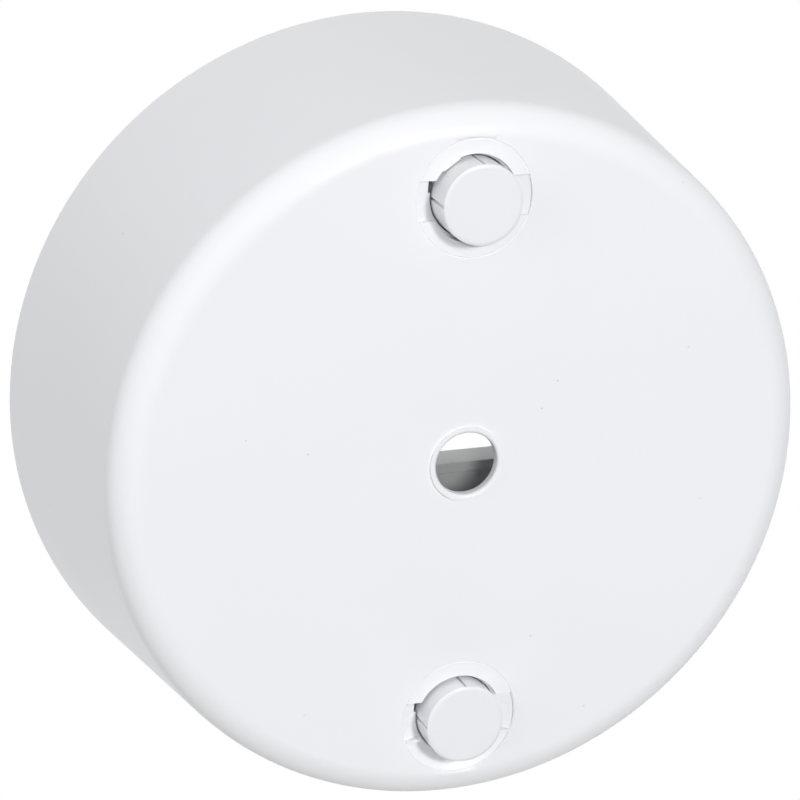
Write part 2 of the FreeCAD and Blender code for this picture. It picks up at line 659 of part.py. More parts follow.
def make_base():
    """Moulded base plate: raised edge, cable window, posts, clips and cord saddle."""
    body = new_body("base_plate")
    plate_radius = (
        size.rear_dia / 2 - size.cover_wall - size.plate_clear - SLOPE * size.plate_rim
    )
    rim_inner = plate_radius - size.plate_rim_wall
    profile = new_sketch(body, "plate_profile", "XZ_Plane")
    draw_polygon(profile, [
        (ZERO, ZERO),
        (plate_radius, ZERO),
        (plate_radius, -size.plate_rim),
        (rim_inner, -size.plate_rim),
        (rim_inner, PLATE_FRONT),
        (ZERO, PLATE_FRONT),
    ])
    add_turned(body, "plate", profile)

    lip_sketch = new_sketch(body, "window_lip_outline", level=PLATE_FRONT)
    lip_long = size.window_long + size.window_lip * 2
    lip_short = size.window_short + size.window_lip * 2
    draw_box(lip_sketch, ZERO, ZERO, lip_long, lip_short)
    lip_height = size.window_lip_rise - size.plate_wall
    window_lip = add_feature(body, "Pad", "window_lip", lip_sketch, lip_height, up=False)
    lip_round = add_round(
        body, "window_lip_corners", window_lip,
        [upright_test(lip_long / 2, lip_short / 2, -size.window_lip_rise, PLATE_FRONT)],
        size.window_round + size.window_lip,
    )
    window_sketch = new_sketch(body, "window_outline")
    draw_box(window_sketch, ZERO, ZERO, size.window_long, size.window_short)
    window = add_feature(
        body, "Pocket", "window", window_sketch, size.window_lip_rise, up=False
    )
    add_round(
        body, "window_corners", window,
        [upright_test(
            size.window_long / 2, size.window_short / 2, -size.window_lip_rise, ZERO
        )],
        size.window_round,
    )

    post_sketch = new_sketch(body, "post_outline", level=PLATE_FRONT)
    draw_circle(post_sketch, ZERO, KNOB_Y, size.post_dia / 2)
    post = add_feature(
        body, "Pad", "post", post_sketch, PLATE_FRONT - POST_END, up=False
    )
    rib_sketch = new_sketch(body, "rib_outline", level=PLATE_FRONT)
    rib_start = KNOB_Y + size.post_dia / 2 - size.rib_wall / 2
    rib_end = plate_radius - size.plate_rim_wall / 2
    draw_polygon(rib_sketch, [
        (-size.rib_wall / 2, rib_start),
        (size.rib_wall / 2, rib_start),
        (size.rib_wall / 2, rib_end),
        (-size.rib_wall / 2, rib_end),
    ])
    rib = add_feature(
        body, "Pad", "post_rib", rib_sketch, size.plate_rim - size.plate_wall, up=False
    )
    bore_sketch = new_sketch(body, "post_bore_outline", level=-size.shoulder_top)
    draw_circle(bore_sketch, ZERO, KNOB_Y, size.knob_shank_dia / 2 + size.shank_clear)
    bore = add_feature(
        body, "Pocket", "post_bore", bore_sketch, -size.shoulder_top - POST_END, up=False
    )
    neck_sketch = new_sketch(body, "tail_bore_outline")
    draw_circle(neck_sketch, ZERO, KNOB_Y, size.tail_dia / 2 + size.tail_clear)
    neck = add_feature(body, "Pocket", "tail_bore", neck_sketch, size.shoulder_top, up=False)
    room_sketch = new_sketch(body, "barb_room_outline")
    draw_circle(room_sketch, ZERO, KNOB_Y, size.barb_room_dia / 2)
    room = add_feature(
        body, "Pocket", "barb_room", room_sketch, size.shoulder_top - size.shoulder_wall, up=False
    )
    slot_sketch = new_sketch(body, "fixing_slot_outline")
    slot_radius = size.fixing_slot_width / 2
    draw_slot(
        slot_sketch, size.fixing_pitch / 2, ZERO,
        size.fixing_slot_length / 2 - slot_radius, slot_radius,
    )
    fixing = add_feature(
        body, "Pocket", "fixing_slot", slot_sketch, size.plate_wall, up=False
    )
    doc.recompute()
    add_pattern(
        body, "two_posts_and_slots", [post, rib, bore, neck, room, fixing], 2
    )

    # Two clips hold the terminal housing by the steps at its ends.
    clip_x = HOUSING_LONG / 2 + size.clip_gap + size.clip_wall / 2
    clip_height = size.housing_height * 0.5
    clip_sketch = new_sketch(body, "clip_outline", level=PLATE_FRONT)
    for side in (1, -1):
        draw_box(clip_sketch, clip_x * side, HOUSING_Y, size.clip_wall, size.clip_width)
    add_feature(
        body, "Pad", "clips", clip_sketch, clip_height + size.clip_gap + size.clip_hook * 2,
        up=False,
    )
    hook_sketch = new_sketch(
        body, "hook_outline", level=PLATE_FRONT - clip_height - size.clip_gap
    )
    hook_wide = size.clip_wall + size.clip_hook + size.clip_gap
    hook_x = clip_x + size.clip_wall / 2 - hook_wide / 2
    for side in (1, -1):
        draw_box(hook_sketch, hook_x * side, HOUSING_Y, hook_wide, size.clip_width)
    add_feature(body, "Pad", "hooks", hook_sketch, size.clip_hook * 2, up=False)

    # The saddle carries the cord; its round groove runs along Y.
    saddle_sketch = new_sketch(body, "saddle_outline", level=PLATE_FRONT)
    draw_box(saddle_sketch, size.cord_x, CORD_Y, size.saddle_long, size.saddle_wide)
    add_feature(
        body, "Pad", "saddle", saddle_sketch, size.saddle_height - size.plate_wall, up=False
    )
    groove_sketch = new_sketch(
        body, "saddle_groove_outline", "XZ_Plane", level=-(CORD_Y + size.saddle_wide / 2)
    )
    draw_circle(groove_sketch, size.cord_x, -size.saddle_height, size.cord_grip_dia / 2)
    add_feature(
        body, "Pocket", "saddle_groove", groove_sketch, size.saddle_wide, up=True
    )
    screw_sketch = new_sketch(body, "saddle_screw_outline", level=-size.saddle_height)
    for side in (1, -1):
        draw_circle(
            screw_sketch, size.cord_x + size.cord_screw_step * side, CORD_Y,
            size.screw_dia / 2 + size.screw_clear,
        )
    screw_depth = size.cord_screw_shaft - size.bar_height + size.clamp_play
    add_feature(body, "Pocket", "saddle_screw_holes", screw_sketch, screw_depth, up=True)
    return body


def pole_x(index):
    """Place of one pole along the housing."""
    return size.pole_pitch * (index - 1.5)


def make_housing():
    """Insulating terminal housing with a room, two wells and a wire way per pole."""
    body = new_body("terminal_housing")
    outline = new_sketch(body, "housing_outline")
    draw_box(outline, ZERO, ZERO, HOUSING_LONG, size.housing_depth)
    block = add_feature(body, "Pad", "block", outline, size.housing_height, up=False)
    step_sketch = new_sketch(body, "step_outline", level=-size.housing_height)
    step_x = HOUSING_LONG / 2 - size.clip_hook / 2
    step_wide = size.clip_hook + size.clip_gap
    for side in (1, -1):
        draw_box(
            step_sketch, (step_x + size.clip_gap / 2) * side, ZERO,
            step_wide + size.clip_gap, size.housing_depth + 2,
        )
    add_feature(body, "Pocket", "clip_steps", step_sketch, size.housing_height * 0.5)
    doc.recompute()

    first = pole_x(0)
    room_sketch = new_sketch(
        body, "room_outline", "XZ_Plane", level=-(size.housing_depth / 2)
    )
    draw_box(
        room_sketch, first, -(size.chamber_floor + size.chamber_height / 2),
        size.chamber_width, size.chamber_height,
    )
    room = add_feature(body, "Pocket", "clamp_room", room_sketch, size.housing_depth, up=True)
    well_sketch = new_sketch(body, "well_outline", level=-size.housing_height)
    for side in (1, -1):
        draw_circle(
            well_sketch, first, SCREW_STEP * side, size.screw_well_dia / 2
        )
    well_depth = size.housing_height - size.chamber_floor - size.chamber_height
    well = add_feature(body, "Pocket", "screw_wells", well_sketch, well_depth)
    doc.recompute()
    row = body.newObject("PartDesign::LinearPattern", "four_poles")
    row.Originals = [room, well]
    row.Direction = (origin_item(body, "X_Axis"), [""])
    row.Mode = "Extent"
    bind(row, "Length", size.pole_pitch * 3)
    row.Occurrences = 4
    body.Tip = row
    place(body, ZERO, HOUSING_Y, PLATE_FRONT)
    block.Visibility = False
    return body


def make_clamp(index):
    """Brass clamp with a wire bore and two threaded holes."""
    body = new_body("terminal_clamp_" + str(index + 1))
    name = body.Label
    outline = new_sketch(body, name + "_outline")
    draw_box(outline, ZERO, ZERO, CLAMP_WIDTH, CLAMP_LENGTH)
    add_feature(body, "Pad", name + "_block", outline, CLAMP_HEIGHT, up=False)
    bore_sketch = new_sketch(body, name + "_bore_outline", "XZ_Plane", -(CLAMP_LENGTH / 2))
    draw_circle(
        bore_sketch, ZERO, WIRE_Z - CLAMP_TOP, size.wire_bore / 2
    )
    add_feature(body, "Pocket", name + "_bore", bore_sketch, CLAMP_LENGTH, up=True)
    tap_sketch = new_sketch(body, name + "_tap_outline", level=-CLAMP_HEIGHT)
    for side in (1, -1):
        draw_circle(
            tap_sketch, ZERO, SCREW_STEP * side, size.screw_dia / 2 + size.screw_clear
        )
    add_feature(body, "Pocket", name + "_taps", tap_sketch, CLAMP_HEIGHT / 2)
    place(body, pole_x(index), HOUSING_Y, CLAMP_TOP)
    return body


def make_screw(label, head_dia, head_height, shaft, x, y, z):
    """Cheese-head screw; its head seats at height z and it points up."""
    body = new_body(label)
    radius = size.screw_dia / 2
    profile = new_sketch(body, label + "_profile", "XZ_Plane")
    draw_polygon(profile, [
        (ZERO, -head_height),
        (head_dia / 2, -head_height),
        (head_dia / 2, ZERO),
        (radius, ZERO),
        (radius, shaft),
        (ZERO, shaft),
    ])
    add_turned(body, label + "_turned", profile)
    slot_sketch = new_sketch(body, label + "_slot_outline", level=-head_height)
    draw_box(slot_sketch, ZERO, ZERO, head_dia * 2, size.screw_slot)
    add_feature(body, "Pocket", label + "_slot", slot_sketch, head_height / 2)
    place(body, x, y, z)
    return body


def make_bar():
    """Cord clamp bar with the upper half of the round passage."""
    body = new_body("cord_clamp_bar")
    outline = new_sketch(body, "bar_outline")
    draw_box(outline, ZERO, ZERO, size.saddle_long, size.saddle_wide)
    add_feature(body, "Pad", "bar_block", outline, size.bar_height, up=False)
    groove_sketch = new_sketch(body, "bar_groove_outline", "XZ_Plane", -(size.saddle_wide / 2))
    draw_circle(groove_sketch, ZERO, ZERO, size.cord_grip_dia / 2)
    add_feature(body, "Pocket", "bar_groove", groove_sketch, size.saddle_wide, up=True)
    hole_sketch = new_sketch(body, "bar_hole_outline")
    for side in (1, -1):
        draw_circle(
            hole_sketch, size.cord_screw_step * side, ZERO,
            size.screw_dia / 2 + size.clamp_play * 2,
        )
    add_feature(body, "Pocket", "bar_holes", hole_sketch, size.bar_height, up=False)
    place(body, size.cord_x, CORD_Y, -size.saddle_height)
    return body


def make_parts():
    """Make every piece of the rose."""
    parts = [make_cover(), make_base(), make_knob("knob_upper", 1), make_knob("knob_lower", -1)]
    parts.append(make_housing())
    # The terminal screws are backed out, so that a wire can go in.
    head_seat = WIRE_Z - size.wire_bore / 2 - size.screw_clear - size.screw_shaft
    for index in range(4):
        parts.append(make_clamp(index))
    number = 1
    for index in range(4):
        for side in (1, -1):
            parts.append(make_screw(
                "terminal_screw_" + str(number), size.screw_head_dia, size.screw_head_height,
                size.screw_shaft, pole_x(index), HOUSING_Y + SCREW_STEP * side,
                head_seat,
            ))
            number += 1
    parts.append(make_bar())
    for number, side in ((1, 1), (2, -1)):
        parts.append(make_screw(
            "cord_clamp_screw_" + str(number), size.cord_screw_head_dia,
            size.cord_screw_head_height, size.cord_screw_shaft,
            size.cord_x + size.cord_screw_step * side, CORD_Y,
            -size.saddle_height - size.bar_height,
        ))
    return parts


def check_document(parts):
    """Stop if any object failed or any piece is not one valid solid."""
    for item in doc.Objects:
        if "Invalid" in item.State or "Error" in item.State:
            raise RuntimeError("failed object " + item.Name)
    for part in parts:
        if part.Shape.isNull() or not part.Shape.isValid():
            raise RuntimeError("bad shape " + part.Label)
        if len(part.Shape.Solids) != 1:
            raise RuntimeError("not one solid " + part.Label)


all_parts = make_parts()
doc.recompute()
check_document(all_parts)
os.makedirs("parts", exist_ok=True)
for piece in all_parts:
    piece.Shape.exportStep("parts/" + piece.Label + ".step")
print("pieces", len(all_parts))
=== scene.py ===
"""Looks of a round white ceiling rose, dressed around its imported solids.

The rose hangs under the ceiling plane (z = 0, +Z up). The two knobs stand on
the Y line and the cord hole is in the middle of the front.
"""

import logging
import math
from contextlib import contextmanager
from dataclasses import dataclass, field
from enum import Enum
from typing import Any, Dict, Iterator, List, Optional, Sequence, Tuple, Union

import bpy
from mathutils import Matrix, Vector


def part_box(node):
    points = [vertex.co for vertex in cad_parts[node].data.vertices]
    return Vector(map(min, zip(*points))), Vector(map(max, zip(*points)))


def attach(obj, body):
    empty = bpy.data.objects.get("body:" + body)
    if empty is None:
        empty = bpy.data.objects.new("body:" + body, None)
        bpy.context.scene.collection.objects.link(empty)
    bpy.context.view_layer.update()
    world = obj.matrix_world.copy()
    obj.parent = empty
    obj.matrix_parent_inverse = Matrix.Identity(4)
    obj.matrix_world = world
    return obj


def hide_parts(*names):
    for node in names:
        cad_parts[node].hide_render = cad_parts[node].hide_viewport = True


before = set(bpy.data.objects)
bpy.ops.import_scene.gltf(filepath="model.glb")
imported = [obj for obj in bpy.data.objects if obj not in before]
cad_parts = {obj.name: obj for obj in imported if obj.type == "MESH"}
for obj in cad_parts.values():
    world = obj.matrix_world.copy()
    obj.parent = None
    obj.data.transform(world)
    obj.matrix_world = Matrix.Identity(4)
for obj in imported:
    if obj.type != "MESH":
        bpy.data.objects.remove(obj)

logging.basicConfig(level=logging.INFO, format="%(levelname)s %(message)s")
LOG = logging.getLogger("ceiling_rose")

MM = 0.001
PHOTO_PIXELS = 800
MERGE_DISTANCE = 2e-6
FLAT_DEGREES = 0.05
HALF_TURN = 180.0
SPECK_BLUR = 0.5
SPECK_CHOICE = 0.01
Number = Union[int, float]
Point = Tuple[float, float, float]
Flat = Tuple[float, float]
Colour = Tuple[float, float, float, float]
BLACK: Colour = (0.0, 0.0, 0.0, 1.0)
WHITE: Colour = (1.0, 1.0, 1.0, 1.0)


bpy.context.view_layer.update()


class Side(Enum):
    """The two knob places, by their sign along Y."""

    UPPER = 1
    LOWER = -1


# Shader language


class Signal:
    """A shader socket that takes part in ordinary arithmetic."""

    def __init__(self, nodes: "Nodes", socket: bpy.types.NodeSocket) -> None:
        """Wrap a socket.

        Args:
            nodes: The node tree that owns the socket.
            socket: The output socket to wrap.
        """
        self.nodes = nodes
        self.socket = socket

    def _math(
        self, operation: str, *others: Union["Signal", Number], swap: bool = False
    ) -> "Signal":
        """Join this signal with others in one Math node.

        Args:
            operation: The node's operation.
            others: The other values.
            swap: Whether this signal comes last.

        Returns:
            The result.
        """
        values: List[Union["Signal", Number]] = [self, *others]
        if swap:
            values.reverse()
        sockets = dict(enumerate(values))
        return self.nodes.node("ShaderNodeMath", {"operation": operation}, sockets).out(0)

    def __add__(self, other: Union["Signal", Number]) -> "Signal":
        """Add."""
        return self._math("ADD", other)

    def __radd__(self, other: Number) -> "Signal":
        """Add from the right."""
        return self._math("ADD", other)

    def __sub__(self, other: Union["Signal", Number]) -> "Signal":
        """Subtract."""
        return self._math("SUBTRACT", other)

    def __rsub__(self, other: Number) -> "Signal":
        """Subtract from a number."""
        return self._math("SUBTRACT", other, swap=True)

    def __mul__(self, other: Union["Signal", Number]) -> "Signal":
        """Multiply."""
        return self._math("MULTIPLY", other)

    def __rmul__(self, other: Number) -> "Signal":
        """Multiply from the right."""
        return self._math("MULTIPLY", other)

    def __truediv__(self, other: Union["Signal", Number]) -> "Signal":
        """Divide."""
        return self._math("DIVIDE", other)

    def __or__(self, other: "Signal") -> "Signal":
        """Larger of two signals, so either of two masks."""
        return self._math("MAXIMUM", other)

    def ramp(self, start: Flat, end: Flat) -> "Signal":
        """Smooth step between two levels.

        Args:
            start: The signal and the result where the step starts.
            end: The signal and the result where it ends.

        Returns:
            The result, level on both sides of the step.
        """
        return self.nodes.node(
            "ShaderNodeMapRange",
            {"interpolation_type": "SMOOTHSTEP"},
            {
                "Value": self,
                "From Min": start[0],
                "From Max": end[0],
                "To Min": start[1],
                "To Max": end[1],
            },
        ).out("Result")

    def above(self, edge: Number, width: Number) -> "Signal":
        """Soft step from 0 to 1 around an edge."""
        return self.ramp((edge - width, 0.0), (edge + width, 1.0))


class Placed:
    """A node that has been added and wired."""

    def __init__(self, nodes: "Nodes", node: bpy.types.Node) -> None:
        """Wrap a node."""
        self.nodes = nodes
        self.node = node

    def out(self, name: Union[int, str]) -> Signal:
        """One output of the node."""
        return Signal(self.nodes, self.node.outputs[name])


class Nodes:
    """A node tree under construction."""

    def __init__(self, tree: bpy.types.NodeTree) -> None:
        """Start with an empty tree."""
        self.tree = tree
        self.tree.nodes.clear()

    def node(
        self,
        kind: str,
        settings: Optional[Dict[str, Any]] = None,
        sockets: Optional[Dict[Union[int, str], Any]] = None,
    ) -> Placed:
        """Add a node.

        Args:
            kind: The node's type.
            settings: Its settings, set before its sockets.
            sockets: Values or signals by socket name or number.

        Returns:
            The node.
        """
        node = self.tree.nodes.new(kind)
        for key, value in (settings or {}).items():
            setattr(node, key, value)
        for key, value in (sockets or {}).items():
            socket = node.inputs[key]
            if isinstance(value, Signal):
                self.tree.links.new(value.socket, socket)
            else:
                socket.default_value = value
        return Placed(self, node)


class Shader(Nodes):
    """A material under construction."""

    def __init__(self, name: str) -> None:
        """Start an empty material.

        Args:
            name: The finish's name.
        """
        self.material = bpy.data.materials.new(name)
        self.material.use_nodes = True
        super().__init__(self.material.node_tree)

    def position(self) -> Signal:
        """Position on the piece, in metres."""
        return self.node("ShaderNodeTexCoord").out("Object")

    def noise(
        self, where: Signal, scale: float, detail: float = 2.0, rough: float = 0.5
    ) -> Signal:
        """Noise value with about `scale` lumps to the metre."""
        return self.node(
            "ShaderNodeTexNoise", None,
            {"Vector": where, "Scale": scale, "Detail": detail, "Roughness": rough},
        ).out("Fac")

    def specks(self, where: Signal, spread: float, size: float, rarity: float) -> Signal:
        """Mask of tiny specks, at most one to each stretch of `spread` metres.

        Args:
            where: Position on the piece.
            spread: Stretch that holds one place for a speck, in metres.
            size: Radius of a speck, in metres.
            rarity: Share of the places that stay empty.

        Returns:
            1 on a speck and 0 elsewhere.
        """
        cells = self.node(
            "ShaderNodeTexVoronoi", None,
            {"Vector": where, "Scale": 1.0 / spread, "Randomness": 1.0},
        )
        radius = size / spread
        near = 1.0 - cells.out("Distance").above(radius, radius * SPECK_BLUR)
        return near * cells.out("Color").above(rarity, SPECK_CHOICE)

    def blend(self, amount: Signal, low: Any, high: Any) -> Signal:
        """Mix two colours by an amount."""
        return self.node(
            "ShaderNodeMix",
            {"data_type": "RGBA", "clamp_factor": True},
            {0: amount, 6: low, 7: high},
        ).out(2)

    def bump(self, height: Signal, distance: float, strength: float) -> Signal:
        """Turn a height in units of `distance` metres into a normal."""
        return self.node(
            "ShaderNodeBump", None,
            {"Height": height, "Distance": distance, "Strength": strength},
        ).out("Normal")

    def finish(self, sockets: Dict[Union[int, str], Any]) -> bpy.types.Material:
        """Close the material with its surface shader.

        Args:
            sockets: The surface shader's values or signals.

        Returns:
            The material.
        """
        surface = self.node("ShaderNodeBsdfPrincipled", None, sockets).out("BSDF")
        self.node("ShaderNodeOutputMaterial", None, {"Surface": surface})
        return self.material


def colour(red: float, green: float, blue: float) -> Colour:
    """Linear colour from values as a screen shows them, 0 to 255."""

    def linear(value: float) -> float:
        """One channel."""
        share = value / 255.0
        return share / 12.92 if share <= 0.04045 else ((share + 0.055) / 1.055) ** 2.4

    return (linear(red), linear(green), linear(blue), 1.0)


@dataclass(frozen=True)
class MouldedPlastic:
    """Moulded plastic with a fine spark-eroded grain, sink marks and specks.

    Scales are in lumps to the metre, and heights are shares of relief. The
    cloud step is the middle and the half width of its soft edge.
    """

    name: str
    tint: Colour
    cloud: Colour
    roughness: float = 0.3
    shine: float = 0.18
    cloud_scale: float = 55.0
    cloud_step: Flat = (0.55, 0.25)
    cloud_amount: float = 0.5
    cloud_rough: float = 0.08
    grain_scale: float = 5200.0
    grain_height: float = 0.004
    grain_rough: float = 0.05
    sink_scale: float = 160.0
    sink_height: float = 0.05
    relief: float = 0.0008
    relief_strength: float = 0.35
    speck: Colour = (0.64, 0.63, 0.60, 1.0)
    speck_spread: float = 0.003
    speck_size: float = 0.0001
    speck_rarity: float = 0.62

    def make(self) -> bpy.types.Material:
        """Build the material.

        Returns:
            The material.
        """
        shader = Shader(self.name)
        where = shader.position()
        clouds = shader.noise(where, self.cloud_scale, 3.0)
        grain = shader.noise(where, self.grain_scale, 2.0, 0.6)
        sinks = shader.noise(where, self.sink_scale, 1.0)
        specks = shader.specks(where, self.speck_spread, self.speck_size, self.speck_rarity)
        clouded = clouds.above(*self.cloud_step) * self.cloud_amount
        base = shader.blend(clouded, self.tint, self.cloud)
        uneven = (clouds - 0.5) * self.cloud_rough + (grain - 0.5) * self.grain_rough
        height = grain * self.grain_height + sinks * self.sink_height
        return shader.finish(
            {
                "Base Color": shader.blend(specks, base, self.speck),
                "Roughness": self.roughness + uneven,
                "Normal": shader.bump(height, self.relief, self.relief_strength),
                "Specular IOR Level": self.shine,
            }
        )


@dataclass(frozen=True)
class CutMetal:
    """Turned or stamped metal with fine tool marks.

    Scales are in lumps to the metre. The stain step is the middle and the
    half width of its soft edge.
    """

    name: str
    tint: Colour
    shade: Colour
    roughness: float = 0.3
    stain_scale: float = 700.0
    stain_step: Flat = (0.55, 0.2)
    stain_rough: float = 0.1
    mark_scale: float = 9000.0
    mark_rough: float = 0.2
    mark_depth: float = 0.00005
    mark_strength: float = 0.3

    def make(self) -> bpy.types.Material:
        """Build the material.

        Returns:
            The material.
        """
        shader = Shader(self.name)
        where = shader.position()
        stain = shader.noise(where, self.stain_scale, 3.0)
        marks = shader.noise(where, self.mark_scale)
        stained = stain.above(*self.stain_step)
        uneven = (marks - 0.5) * self.mark_rough + (stain - 0.5) * self.stain_rough
        return shader.finish(
            {
                "Base Color": shader.blend(stained, self.tint, self.shade),
                "Metallic": 1.0,
                "Roughness": self.roughness + uneven,
                "Normal": shader.bump(marks, self.mark_depth, self.mark_strength),
            }
        )


@dataclass(frozen=True)
class PaleFloor:
    """A pale floor that the light sees a little darker than the camera does."""

    name: str = "pale_floor"
    low: Colour = colour(238, 238, 239)
    high: Colour = colour(243, 243, 243)
    bounce: Colour = (0.36, 0.36, 0.36, 1.0)
    lift: Colour = (0.27, 0.27, 0.27, 1.0)
    tone_scale: float = 1.5
    roughness: float = 0.8

    def make(self) -> bpy.types.Material:
        """Build the material.

        Returns:
            The material.
        """
        shader = Shader(self.name)
        tone = shader.noise(shader.position(), self.tone_scale)
        seen = shader.node("ShaderNodeLightPath").out("Is Camera Ray")
        pale = shader.blend(tone, self.low, self.high)
        return shader.finish(
            {
                "Base Color": shader.blend(seen, self.bounce, pale),
                "Roughness": self.roughness,
                "Specular IOR Level": 0.0,
                "Emission Color": shader.blend(seen, BLACK, self.lift),
                "Emission Strength": 1.0,
            }
        )


# Studio


@dataclass(frozen=True)
class Lamp:
    """A square lamp that looks at the rose, in metres and watts."""

    name: str
    place: Point
    size: float
    watts: float
    mirrored: bool = True


@dataclass(frozen=True)
class Sky:
    """Light of the surroundings: two levels along an axis, with a soft turn."""

    axis: Point = (0.2, 0.26, 0.93)
    below: Flat = (-0.3, 0.23)
    above: Flat = (0.3, 0.56)


@dataclass
class Studio:
    """Camera, lamps, pale floor and white surroundings.

    The focal length, the two turns, the roll and the shift (in millimetres)
    are those of a camera fitted to the photograph.
    """

    focal_pixels: float = 3899.1472
    turn_side: float = -0.341
    turn_up: float = 0.3396
    roll_degrees: float = 1.46
    shift: Point = (-3.9642, -3.5981, 454.2551)
    sensor_mm: float = 36.0
    clip: Flat = (0.01, 20.0)
    aim: Point = (0.0, 0.0, -0.02)
    floor_level: float = -1.8
    floor_size: float = 12.0
    floor: PaleFloor = PaleFloor()
    sky: Sky = Sky()
    lamps: Sequence[Lamp] = (
        Lamp("lamp_key", (-0.25, 0.48, -1.22), 0.22, 8.6),
        Lamp("lamp_front", (0.376, 0.470, -1.26), 0.08, 5.0, mirrored=False),
        Lamp("lamp_left", (0.90, 0.30, -0.26), 0.8, 2.1, mirrored=False),
        Lamp("lamp_top", (-0.04, 0.60, -0.50), 0.22, 0.15),
        Lamp("lamp_far", (-0.10, -1.05, -0.10), 0.8, 2.2, mirrored=False),
    )

    def build(self) -> None:
        """Set up everything that isn't the object."""
        self._camera()
        self._world()
        self._floor()
        for lamp in self.lamps:
            self._lamp(lamp)
        bpy.context.scene.view_settings.view_transform = "Standard"

    def _camera(self) -> None:
        """Stand the camera where the photograph was taken from."""
        side = Matrix.Rotation(self.turn_side, 3, "Y")
        up = Matrix.Rotation(self.turn_up, 3, "X")
        turn = up @ side
        flip = Matrix(((-1, 0, 0), (0, -1, 0), (0, 0, 1)))
        roll = Matrix.Rotation(-math.radians(self.roll_degrees), 3, "Z")
        to_rose = flip @ roll
        right, down, ahead = (to_rose @ turn[i] for i in range(3))
        place = to_rose @ -(turn.transposed() @ Vector(self.shift))
        data = bpy.data.cameras.new("camera")
        data.sensor_width = self.sensor_mm
        data.lens = self.focal_pixels / PHOTO_PIXELS * self.sensor_mm
        data.clip_start, data.clip_end = self.clip
        camera = bpy.data.objects.new("camera", data)
        bpy.context.scene.collection.objects.link(camera)
        columns = Matrix((right, -down, -ahead)).transposed()
        camera.matrix_world = Matrix.Translation(place * MM) @ columns.to_4x4()
        bpy.context.scene.camera = camera

    def _world(self) -> None:
        """White for the camera and in reflections, the sky's levels for the light."""
        world = bpy.data.worlds.new("surroundings")
        bpy.context.scene.world = world
        world.use_nodes = True
        nodes = Nodes(world.node_tree)
        path = nodes.node("ShaderNodeLightPath")
        glossy, through = path.out("Is Glossy Ray"), path.out("Is Transmission Ray")
        seen = path.out("Is Camera Ray") | glossy | through
        height = nodes.node(
            "ShaderNodeVectorMath",
            {"operation": "DOT_PRODUCT"},
            {0: nodes.node("ShaderNodeTexCoord").out("Generated"), 1: self.sky.axis},
        ).out("Value")
        light = height.ramp(self.sky.below, self.sky.above)
        level = nodes.node(
            "ShaderNodeMix", {"data_type": "FLOAT"}, {0: seen, 2: light, 3: 1.0}
        ).out(0)
        background = nodes.node(
            "ShaderNodeBackground", None, {"Color": WHITE, "Strength": level}
        ).out(0)
        nodes.node("ShaderNodeOutputWorld", None, {"Surface": background})

    def _floor(self) -> None:
        """Lay a wide pale floor far under the rose."""
        bpy.ops.mesh.primitive_plane_add(
            size=self.floor_size, location=(0.0, 0.0, self.floor_level)
        )
        floor = bpy.context.object
        floor.name = "floor"
        floor.data.materials.append(self.floor.make())

    def _lamp(self, lamp: Lamp) -> None:
        """Hang one lamp and turn it to the rose.

        Args:
            lamp: The lamp.
        """
        data = bpy.data.lights.new(lamp.name, "AREA")
        data.energy = lamp.watts
        data.size = lamp.size
        item = bpy.data.objects.new(lamp.name, data)
        bpy.context.scene.collection.objects.link(item)
        item.visible_glossy = lamp.mirrored
        item.location = lamp.place
        item.rotation_mode = "QUATERNION"
        ahead = Vector(self.aim) - Vector(lamp.place)
        item.rotation_quaternion = ahead.to_track_quat("-Z", "Y")


# Bench work


def pick(item: bpy.types.Object) -> None:
    """Make one object the only selected one.

    Args:
        item: The object.
    """
    if bpy.context.object is not None and bpy.context.object.mode != "OBJECT":
        bpy.ops.object.mode_set(mode="OBJECT")
    bpy.ops.object.select_all(action="DESELECT")
    item.select_set(True)
    bpy.context.view_layer.objects.active = item


@contextmanager
def editing(item: bpy.types.Object, mode: str = "VERT") -> Iterator[None]:
    """Hold an object in edit mode with everything selected.

    Args:
        item: The object.
        mode: VERT, EDGE or FACE.

    Yields:
        Nothing, while the object is in edit mode.
    """
    pick(item)
    bpy.ops.object.mode_set(mode="EDIT")
    bpy.ops.mesh.select_mode(type=mode)
    bpy.ops.mesh.select_all(action="SELECT")
    yield
    bpy.ops.object.mode_set(mode="OBJECT")


def apply_all(item: bpy.types.Object) -> None:
    """Apply an object's modifiers in order.

    Args:
        item: The object.
    """
    pick(item)
    for modifier in list(item.modifiers):
        bpy.ops.object.modifier_apply(modifier=modifier.name)


def smooth(item: bpy.types.Object, degrees: float = 32.0) -> None:
    """Shade round faces smooth, keep hard edges, and let flat faces stay flat.

    Args:
        item: The piece.
        degrees: Edges that turn more than this stay hard.
    """
    pick(item)
    bpy.ops.object.shade_smooth_by_angle(angle=math.radians(degrees))
    even = item.modifiers.new("even_normals", "WEIGHTED_NORMAL")
    even.keep_sharp = True
    apply_all(item)


def cut(item: bpy.types.Object, tool: bpy.types.Object) -> None:
    """Cut one mesh with another and remove the tool.

    Args:
        item: The piece.
        tool: The closed mesh that is taken out of it.
    """
    modifier = item.modifiers.new("cut", "BOOLEAN")
    modifier.operation = "DIFFERENCE"
    modifier.solver = "EXACT"
    modifier.object = tool
    apply_all(item)
    bpy.data.objects.remove(tool, do_unlink=True)


def soften(
    item: bpy.types.Object, width: float, steps: int = 2, degrees: float = 33.0
) -> None:
    """Round every hard edge a little, as a mould leaves it.

    Args:
        item: The piece.
        width: Width of the rounding, in millimetres.
        steps: Faces across the rounding.
        degrees: Edges that turn more than this are rounded.
    """
    pick(item)
    bevel = item.modifiers.new("soft_edges", "BEVEL")
    bevel.width = width * MM
    bevel.segments = steps
    bevel.limit_method = "ANGLE"
    bevel.angle_limit = math.radians(degrees)
    bevel.miter_outer = "MITER_ARC"
    bevel.use_clamp_overlap = True
    apply_all(item)


